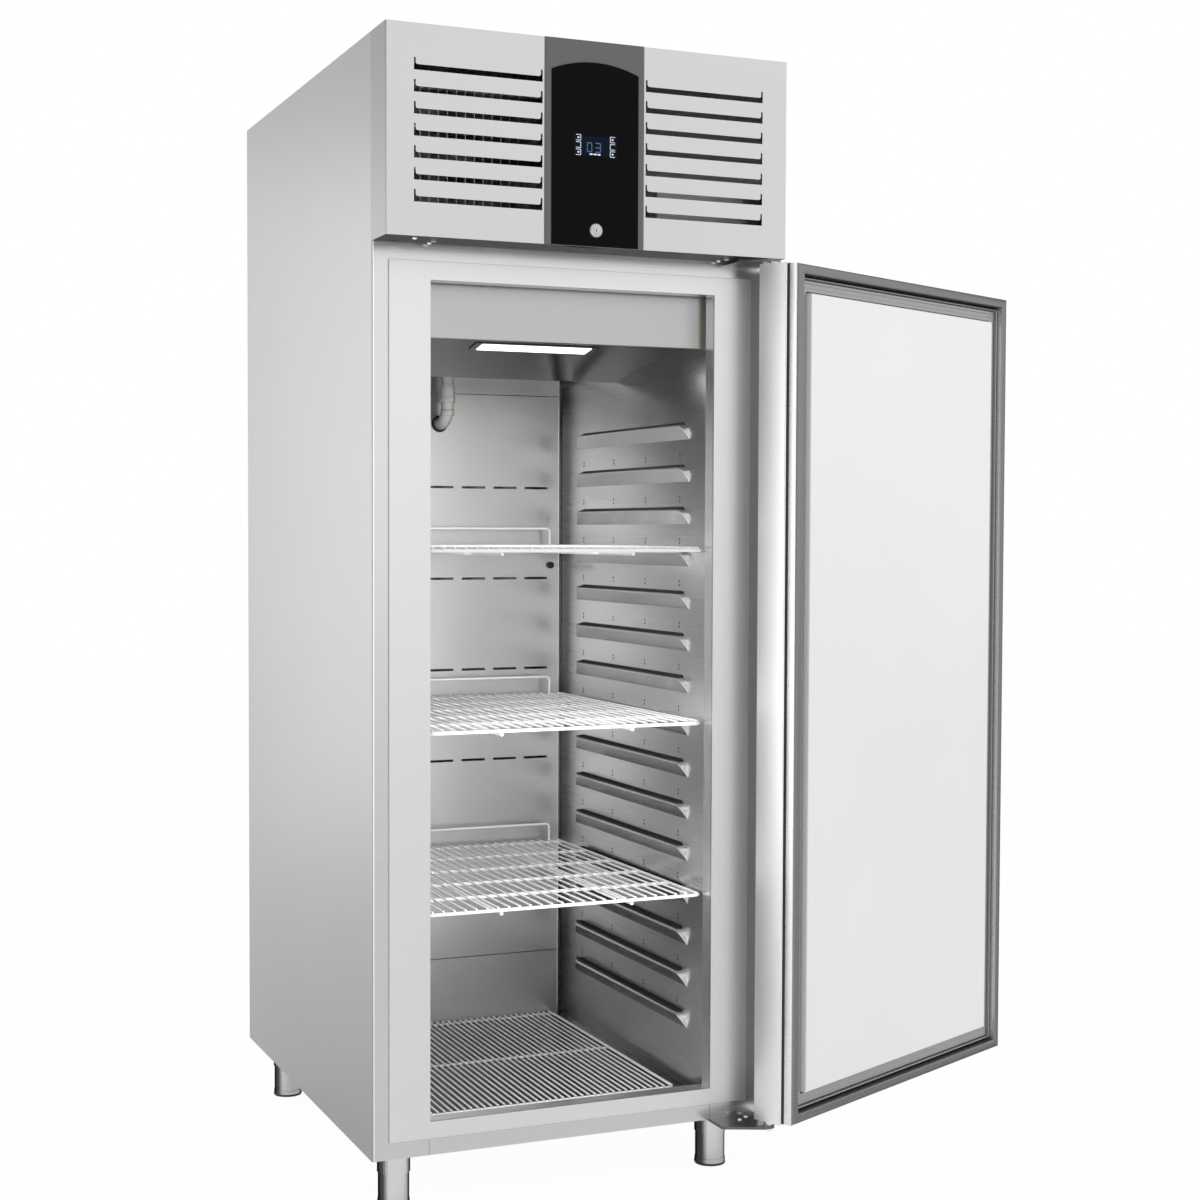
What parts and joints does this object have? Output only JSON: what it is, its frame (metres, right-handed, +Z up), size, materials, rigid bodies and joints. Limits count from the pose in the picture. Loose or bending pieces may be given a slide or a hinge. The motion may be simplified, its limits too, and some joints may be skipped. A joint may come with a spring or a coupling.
{
  "type": "commercial refrigerator",
  "caption": "Upright stainless reach-in refrigerator on short legs: louvred machine cover on top, one hinged insulated door standing open, wire shelves on pressed ledges.",
  "frame": {"origin": "on the floor under the centre of the cabinet body, midway between its feet", "axes": "+X to the right seen from the front, +Y to the back, +Z up; the door faces -Y"},
  "size_m": [1.3927, 0.9941, 1.995],
  "materials": {
    "brushed_steel": "vertical brushed stainless sheet",
    "satin_steel": "satin stainless sheet",
    "liner_steel": "semi-bright stainless liner sheet",
    "bright_trim": "bright stainless sheet",
    "leg_steel": "polished stainless tube",
    "galvanised_steel": "galvanised sheet",
    "zinc": "plated",
    "insulation": "rigid foam, matt",
    "fin_aluminium": "plain fins",
    "copper": "drawn copper tube",
    "black_paint": "satin black",
    "panel_paint": "dark grey satin",
    "black_glass": "high gloss black",
    "display": "dark display",
    "door_liner": "pale smooth sheet",
    "gasket": "grey flexible profile",
    "black_rubber": "matt",
    "black_plastic": "matt",
    "white_plastic": "matt",
    "drain_plastic": "translucent white pipe",
    "lamp_diffuser": "white diffuser",
    "white_coating": "white coated wire"
  },
  "bodies": {
    "cabinet": {"outer_side_left": "brushed_steel", "outer_side_right": "brushed_steel", "outer_back": "brushed_steel", "base_pan": "galvanised_steel", "front_edge_trim": "bright_trim", "front_frame": "satin_steel", "throat_strips": "liner_steel", "wall_foam": "insulation", "liner_left": "liner_steel", "liner_right": "liner_steel", "liner_back": "liner_steel", "liner_floor": "liner_steel", "liner_ceiling": "liner_steel", "duct_panel": "liner_steel", "baffle_fascia": "satin_steel", "baffle_air_guide": "liner_steel", "lamp_housing": "white_plastic", "lamp_lens": "lamp_diffuser", "drain_elbow": "drain_plastic", "probe_plug": "black_rubber", "evaporator_coil": "fin_aluminium", "evaporator_fan_frame": "galvanised_steel", "drip_tray": "liner_steel", "machine_deck": "galvanised_steel", "compressor": "black_paint", "condenser_coil": "fin_aluminium", "condenser_fan_frame": "galvanised_steel", "refrigerant_pipes": "copper", "control_box": "white_plastic", "top_cover": "brushed_steel", "cable_gland": "black_plastic", "header_left": "satin_steel", "header_right": "satin_steel", "header_underside": "bright_trim", "control_panel": "panel_paint", "control_glass": "black_glass", "display_window": "display", "header_screws": "zinc", "leg_tubes": "leg_steel", "hinge_plates": "galvanised_steel", "hinge_pins": "zinc"},
    "door": {"door_skin": "brushed_steel", "door_foam": "insulation", "door_inner_panel": "door_liner", "door_edge_profile": "satin_steel", "door_gasket": "gasket", "door_grip": "brushed_steel", "door_bushes": "white_plastic"},
    "lock": {"lock_cylinder": "zinc", "lock_cam": "zinc"},
    "evaporator_fan": {"evaporator_fan": "black_plastic"},
    "condenser_fan": {"condenser_fan": "black_plastic"},
    "shelf_top": {"shelf_top": "white_coating"},
    "shelf_middle": {"shelf_middle": "white_coating"},
    "shelf_bottom": {"shelf_bottom": "white_coating"},
    "floor_rack": {"floor_rack": "white_coating"},
    "foot_front_left": {"foot_front_left": "leg_steel"},
    "foot_front_right": {"foot_front_right": "leg_steel"},
    "foot_back_left": {"foot_back_left": "leg_steel"},
    "foot_back_right": {"foot_back_right": "leg_steel"}
  },
  "joints": [
    {"name": "door_hinge", "type": "hinge", "parent": "cabinet", "child": "door", "pos_m": [0.3535, -0.4945, 0.878], "axis": [0, 0, 1], "range_deg": [-205, 0]},
    {"name": "lock_turn", "type": "hinge", "parent": "cabinet", "child": "lock", "pos_m": [0.001, -0.497, 1.678], "axis": [0, -1, 0], "range_deg": [0, 90]},
    {"name": "evaporator_fan_spin", "type": "hinge", "parent": "cabinet", "child": "evaporator_fan", "pos_m": [0, 0, 1.539], "axis": [0, 1, 0], "continuous": true},
    {"name": "condenser_fan_spin", "type": "hinge", "parent": "cabinet", "child": "condenser_fan", "pos_m": [-0.16, -0.33, 1.8146], "axis": [0, 1, 0], "continuous": true},
    {"name": "shelf_top_slide", "type": "slide", "parent": "cabinet", "child": "shelf_top", "axis": [0, -1, 0], "range_m": [0, 0.4]},
    {"name": "shelf_middle_slide", "type": "slide", "parent": "cabinet", "child": "shelf_middle", "axis": [0, -1, 0], "range_m": [0, 0.4]},
    {"name": "shelf_bottom_slide", "type": "slide", "parent": "cabinet", "child": "shelf_bottom", "axis": [0, -1, 0], "range_m": [0, 0.4]},
    {"name": "floor_rack_lift", "type": "slide", "parent": "cabinet", "child": "floor_rack", "axis": [0, 0, 1], "range_m": [0, 0.06]},
    {"name": "foot_front_left_screw", "type": "slide", "parent": "cabinet", "child": "foot_front_left", "axis": [0, 0, -1], "range_m": [0, 0.02]},
    {"name": "foot_front_right_screw", "type": "slide", "parent": "cabinet", "child": "foot_front_right", "axis": [0, 0, -1], "range_m": [0, 0.02]},
    {"name": "foot_back_left_screw", "type": "slide", "parent": "cabinet", "child": "foot_back_left", "axis": [0, 0, -1], "range_m": [0, 0.02]},
    {"name": "foot_back_right_screw", "type": "slide", "parent": "cabinet", "child": "foot_back_right", "axis": [0, 0, -1], "range_m": [0, 0.02]}
  ]
}
